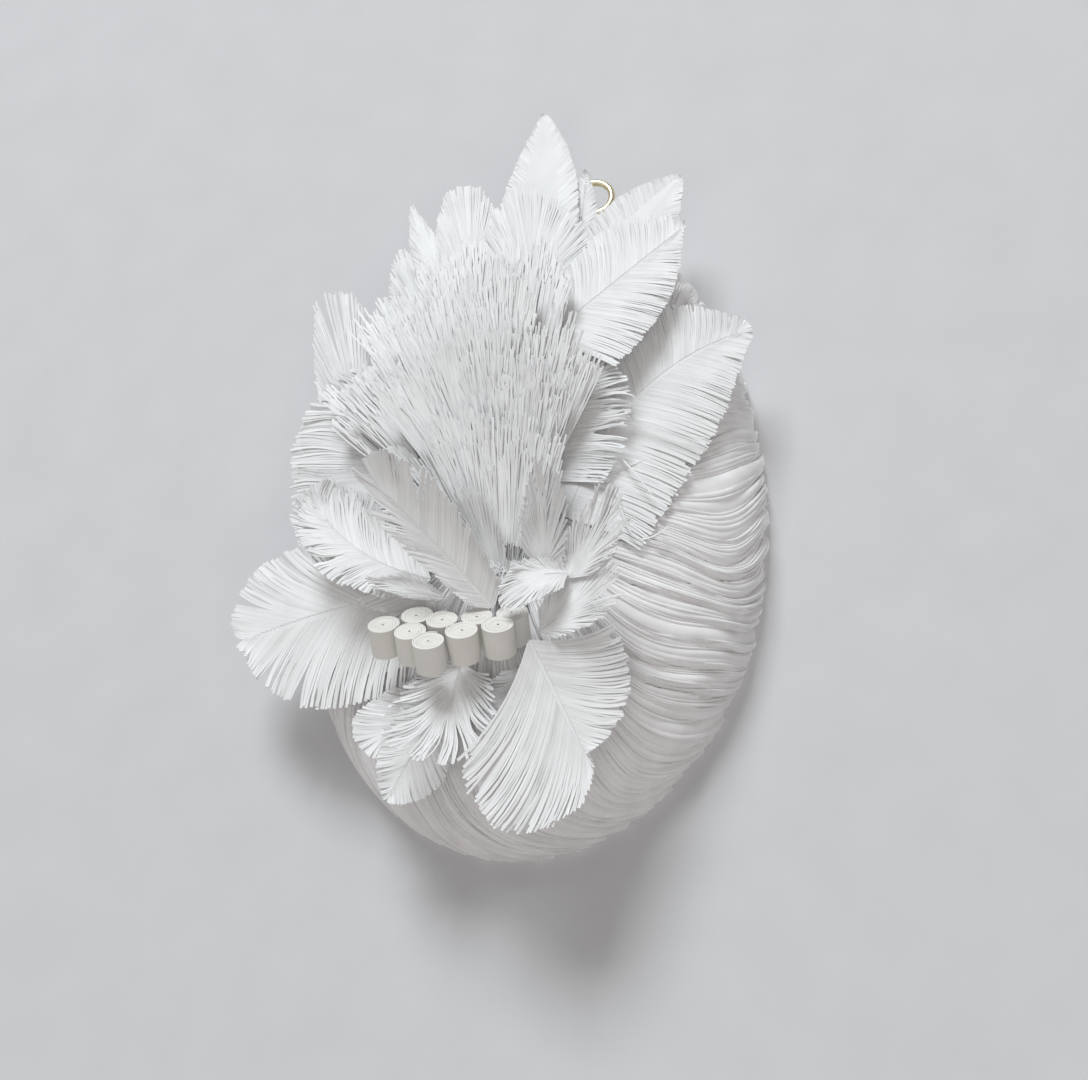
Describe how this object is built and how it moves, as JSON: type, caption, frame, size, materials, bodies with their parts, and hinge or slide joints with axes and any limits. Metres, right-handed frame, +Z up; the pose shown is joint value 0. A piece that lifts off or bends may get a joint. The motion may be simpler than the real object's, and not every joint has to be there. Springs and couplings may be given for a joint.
{
  "type": "paper wall sculpture",
  "caption": "Egg-shaped pleated paper wall sculpture covered with fringed paper plumes and a cluster of paper coils, hung from a small brass eye.",
  "frame": {"origin": "on the flat back that lies on the wall, straight below the eye, at the level of the body's widest place", "axes": "+Z up as the part hangs, +X to the viewer's right, the front faces -Y and the back lies on Y = 0"},
  "size_m": [0.13, 0.0742, 0.2016],
  "materials": {
    "plume_paper": "matt white paper, fringe-cut",
    "body_paper": "matt white paper in fine radial strips",
    "roll_paper": "matt warm white paper, tightly rolled",
    "card": "matt off-white card",
    "brass": "satin pale brass"
  },
  "bodies": {
    "root": {"backing_card": "card", "bottom_plume": "plume_paper", "broad_plume": "plume_paper", "centre_left": "plume_paper", "centre_right": "plume_paper", "centre_tuft": "plume_paper", "crest_tuft_01": "plume_paper", "crest_tuft_02": "plume_paper", "crest_tuft_03": "plume_paper", "crest_tuft_04": "plume_paper", "crest_tuft_05": "plume_paper", "crest_tuft_06": "plume_paper", "crest_tuft_07": "plume_paper", "crest_tuft_08": "plume_paper", "crest_tuft_09": "plume_paper", "crest_tuft_10": "plume_paper", "crest_tuft_11": "plume_paper", "crest_tuft_12": "plume_paper", "crest_tuft_13": "plume_paper", "crest_tuft_14": "plume_paper", "crest_tuft_15": "plume_paper", "crown_fan": "plume_paper", "crown_leaf": "plume_paper", "crown_sliver": "plume_paper", "curled_plume": "plume_paper", "curled_tuft": "plume_paper", "hanging_eye": "brass", "inner_plume": "plume_paper", "left_fringe": "plume_paper", "left_leaf": "plume_paper", "left_low": "plume_paper", "left_tall": "plume_paper", "left_upper": "plume_paper", "low_leaf": "plume_paper", "low_left": "plume_paper", "low_mid": "plume_paper", "mid_tuft": "plume_paper", "paper_roll_01": "roll_paper", "paper_roll_02": "roll_paper", "paper_roll_03": "roll_paper", "paper_roll_04": "roll_paper", "paper_roll_05": "roll_paper", "paper_roll_06": "roll_paper", "paper_roll_07": "roll_paper", "paper_roll_08": "roll_paper", "paper_roll_09": "roll_paper", "pleated_body": "body_paper", "right_leaf": "plume_paper", "right_plume": "plume_paper", "round_leaf": "plume_paper", "standing_petal": "plume_paper", "throat_fringe": "plume_paper", "under_roll": "plume_paper", "wing_plume": "plume_paper", "wing_under": "plume_paper"}
  },
  "joints": []
}
